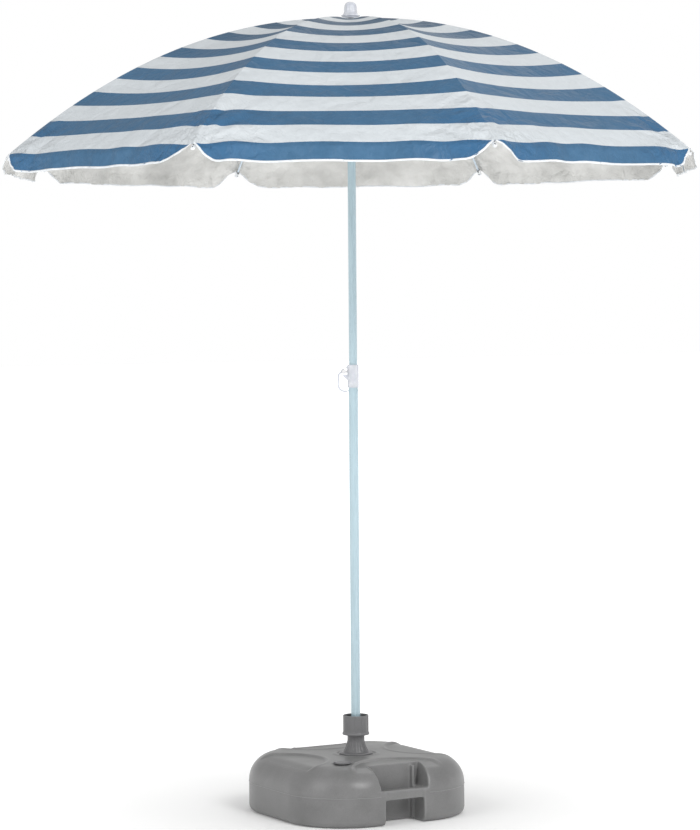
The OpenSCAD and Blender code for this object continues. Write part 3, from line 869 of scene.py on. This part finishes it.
def shape_top(o):
    """Presses the mould's arcs, the stem's ring and the cap's seat into the top."""
    p, normal = vertex_values(o.data, "co"), vertex_values(o.data, "normal")
    is_top = step(normal[:, 2], 0.75, 0.95) * step(p[:, 2], BASE_H - 0.03, BASE_H - 0.012)
    rise = np.zeros(len(p))
    for q in range(4):
        a = math.pi / 2 * q
        d = np.hypot(p[:, 0] - ARC_AT * math.cos(a), p[:, 1] - ARC_AT * math.sin(a)) - ARC_R
        rise += -0.0035 * step(-d, 0.0, 0.009) + 0.0014 * bell(d - 0.003, 0.004)
    r = np.hypot(p[:, 0], p[:, 1])
    rise += 0.0016 * bell(r - 0.05, 0.004) - 0.0012 * bell(r - 0.043, 0.003)
    cap = np.hypot(p[:, 0] - CAP_AT.x, p[:, 1] - CAP_AT.y)
    rise += -0.0015 * step(-cap, -CAP_SEAT[1], -CAP_SEAT[0])
    p[:, 2] += rise * is_top
    p[:, 2] = np.maximum(p[:, 2], 0.0)
    o.data.vertices.foreach_set("co", p.ravel())
    o.data.update()


def make_parting_line():
    """The fine raised seam where the mould's halves met, left out where the grips are open."""
    ring = outline(0.0, 48)
    ring = [q for i, q in enumerate(ring) if i == 0 or math.dist(q, ring[i - 1]) > 1e-6]
    pts = np.array(between(ring, 0.01, math.floor))
    ahead = unit(np.roll(pts, -1, 0) - np.roll(pts, 1, 0))
    out = np.stack([ahead[:, 1], -ahead[:, 0]], axis=1)
    section = [(-0.001, -0.0011), (0.0003, -0.0008), (0.0007, 0.0), (0.0003, 0.0008), (-0.001, 0.0011)]
    m, n = len(pts), len(section)
    points = [(*(pts[i] + out[i] * a), PART_Z + b) for i in range(m) for a, b in section]
    faces = []
    for i in range(m):
        j = (i + 1) % m
        mid = (pts[i] + pts[j]) / 2
        if abs(mid[0]) < POCKET_W / 2 + 0.002 and abs(mid[1]) > BASE_HALF - 0.02:
            continue
        faces += [(i * n + s, j * n + s, j * n + (s + 1) % n, i * n + (s + 1) % n) for s in range(n)]
    return from_points("base_parting_line", np.array(points), faces, MAT["base"])


def between(path, longest, whole=math.ceil):
    """Adds points so that no step of a closed path is much over a length."""
    out = []
    for i, p in enumerate(path):
        q = path[(i + 1) % len(path)]
        steps = max(1, whole(math.dist(p, q) / longest))
        out += [(p[0] + (q[0] - p[0]) * s / steps, p[1] + (q[1] - p[1]) * s / steps)
                for s in range(steps)]
    return out


def dress_base():
    shell = make_base()
    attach(shell, "base")
    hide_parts("base_body")
    line = make_parting_line()
    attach(line, "base")


dress_base()


# ---------------------------------------------------------------- turned plastic parts

def facets(count, depth, z0, z1, r_min):
    """A shape for lathe: count shallow facets between two heights, outside r_min."""
    def shape(a, r, z):
        if r < r_min or not z0 < z < z1:
            return r
        ends = min(1.0, (z - z0) / 0.002, (z1 - z) / 0.002)
        return r - depth * ends * (1 - abs(math.cos(a * count / 2)) ** 0.6)
    return shape


def rounded(points, radius=0.6 * MM):
    """A profile with each corner cut off by a small step."""
    out = []
    n = len(points)
    for i, (r, z) in enumerate(points):
        for other in (points[i - 1], points[(i + 1) % n]):
            d = math.dist((r, z), other)
            share = min(radius / d, 0.4) if d else 0
            out.append((r + (other[0] - r) * share, z + (other[1] - z) * share))
    return out


BORE_R = 12.2 * MM      # the hole for the lower tube


def dress_nut():
    """The clamp nut: ten finger facets above a plain lip."""
    foot, top = low("clamp_nut").z, high("clamp_nut").z
    lip = high("clamp_nut").x
    grip, thread = lip - 1.5 * MM, 20.6 * MM
    profile = [(thread, foot), (lip, foot), (lip, foot + 4.5 * MM),
               (grip, foot + 6 * MM), (grip, top), (grip - 2.6 * MM, top),
               (grip - 2.9 * MM, top - 9 * MM), (BORE_R, top - 11 * MM),
               (BORE_R, top - 13 * MM), (thread, top - 13 * MM)]
    nut = lathe("nut_grip", between(rounded(profile), 2 * MM), MAT["nut"], 160,
                facets(10, 1.3 * MM, foot + 5.5 * MM, top - 0.8 * MM, grip - 1 * MM))
    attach(nut, "nut")
    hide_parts("clamp_nut")


def dress_stem():
    """The stem: a fluted cone on a round plate."""
    tip, plate = high("stem").z, high("stem").x
    profile = [(BORE_R, BASE_H), (plate, BASE_H), (plate, BASE_H + 2.6 * MM),
               (plate - 2 * MM, BASE_H + 4 * MM), (30.6 * MM, BASE_H + 4.4 * MM),
               (29.6 * MM, BASE_H + 7 * MM), (24.2 * MM, BASE_H + 18 * MM),
               (20.4 * MM, BASE_H + 30 * MM), (20 * MM, BASE_H + 33 * MM), (20 * MM, tip),
               (BORE_R, tip)]
    stem = lathe("stem_cone", between(rounded(profile, 0.5 * MM), 2 * MM), MAT["dark"], 180,
                 facets(18, 1.1 * MM, BASE_H + 7 * MM, BASE_H + 31 * MM, 19 * MM))
    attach(stem, "base")
    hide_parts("stem")


def dress_finial():
    """The finial: a faceted dome on a flange, with a spigot down into the upper tube."""
    top, spigot = high("finial").z, low("finial").z
    seat = top - 38 * MM
    flange, axis = high("finial").x - 2 * MM, 0.1 * MM
    profile = [(axis, spigot), (5 * MM, spigot), (5 * MM, seat), (17 * MM, seat),
               (17.5 * MM, seat + 4 * MM), (flange, seat + 4.4 * MM), (flange, seat + 6 * MM),
               (19.5 * MM, seat + 7.2 * MM), (16.8 * MM, seat + 9.5 * MM),
               (15.2 * MM, seat + 14 * MM), (14.6 * MM, seat + 24 * MM),
               (13.6 * MM, top - 8 * MM), (11.6 * MM, top - 4.4 * MM), (8.5 * MM, top - 1.9 * MM),
               (4.5 * MM, top - 0.5 * MM), (axis, top)]
    cap = lathe("crown_finial", between(rounded(profile, 0.5 * MM), 1.5 * MM), MAT["milky"], 144,
                facets(12, 0.7 * MM, seat + 10 * MM, top - 5 * MM, 10 * MM))
    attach(cap, "upper_pole")
    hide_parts("finial")


dress_nut()
dress_stem()
dress_finial()


# ---------------------------------------------------------------- carried-over CAD nodes

PAINT = {
    "water_fill": "water", "filler_cap": "dark", "cap_gasket": "rubber", "clamp_collet": "dark",
    "lower_tube": "tube", "lower_tube_plug": "dark", "collar": "milky", "pull_ring": "milky",
    "lock_peg": "steel", "upper_tube": "tube", "upper_tube_plug": "dark", "crown_hub": "milky",
    "pivot_wire": "steel", "crown_washer": "steel", "runner": "milky",
    "rib_": "rib", "rib_tip_": "black", "rib_joint_": "steel", "stretcher_": "rib",
}


def paint_nodes():
    for name, o in frame["nodes"].items():
        key = name if name in PAINT else name.rstrip("0123456789")
        if key not in PAINT:
            continue
        o.data.materials.clear()
        o.data.materials.append(MAT[PAINT[key]])


paint_nodes()


# ---------------------------------------------------------------- floor, world and lights

FLOOR_HALF = 40
SKY = 0.58              # strength of the light from above
HAZE = (0.16, 0.3)      # the heights between which the horizon's white fades into the sky


def make_floor():
    """A pale floor that brightens with distance, so that it ends in the horizon's white."""
    w = FLOOR_HALF
    mesh = bpy.data.meshes.new("floor")
    mesh.from_pydata([(-w, -w, 0), (w, -w, 0), (w, w, 0), (-w, w, 0)], [], [(0, 1, 2, 3)])
    m, shader, add, put = new_material("floor")
    shader.inputs["Base Color"].default_value = (0.9, 0.9, 0.9, 1)
    shader.inputs["Roughness"].default_value = 0.9
    shader.inputs["Emission Color"].default_value = (1, 1, 1, 1)
    far = add("ShaderNodeVectorMath", {0: place(add)}, operation="LENGTH").outputs["Value"]
    put(shader, "Emission Strength", ranged(add, far, (0.3, 2.0), (0.06, 0.8)))
    link("floor", mesh, m)


def make_world():
    world = bpy.data.worlds.new("world")
    world.use_nodes = True
    nodes, links = world.node_tree.nodes, world.node_tree.links
    split = nodes.new("ShaderNodeSeparateXYZ")
    links.new(nodes.new("ShaderNodeTexCoord").outputs["Generated"], split.inputs[0])
    fade = nodes.new("ShaderNodeMapRange")
    fade.inputs["From Min"].default_value, fade.inputs["From Max"].default_value = HAZE
    fade.inputs["To Min"].default_value, fade.inputs["To Max"].default_value = 1.0, SKY
    links.new(split.outputs["Z"], fade.inputs["Value"])
    sky = nodes["Background"]
    sky.inputs["Color"].default_value = (1, 1, 1, 1)
    links.new(fade.outputs["Result"], sky.inputs["Strength"])
    bpy.context.scene.world = world


def add_light(name, turn, height, far, size, power):
    """A soft round lamp, turned from the camera's side by so many degrees, aimed at the pole."""
    data = bpy.data.lights.new(name, "AREA")
    data.shape = "DISK"
    data.size = size
    data.energy = power
    o = bpy.data.objects.new(name, data)
    bpy.context.scene.collection.objects.link(o)
    a = VIEW_TURN + math.radians(turn)
    o.location = (far * math.cos(a), far * math.sin(a), height)
    o.rotation_euler = (Vector((0, 0, 0.9)) - o.location).to_track_quat("-Z", "Y").to_euler()


make_floor()
make_world()
add_light("key", turn=34, height=3.9, far=4.8, size=2.4, power=135)
add_light("fill", turn=-48, height=3.2, far=5.0, size=3.0, power=60)
add_light("back", turn=165, height=4.8, far=4.6, size=3.0, power=25)
bpy.context.scene.view_settings.view_transform = "Standard"
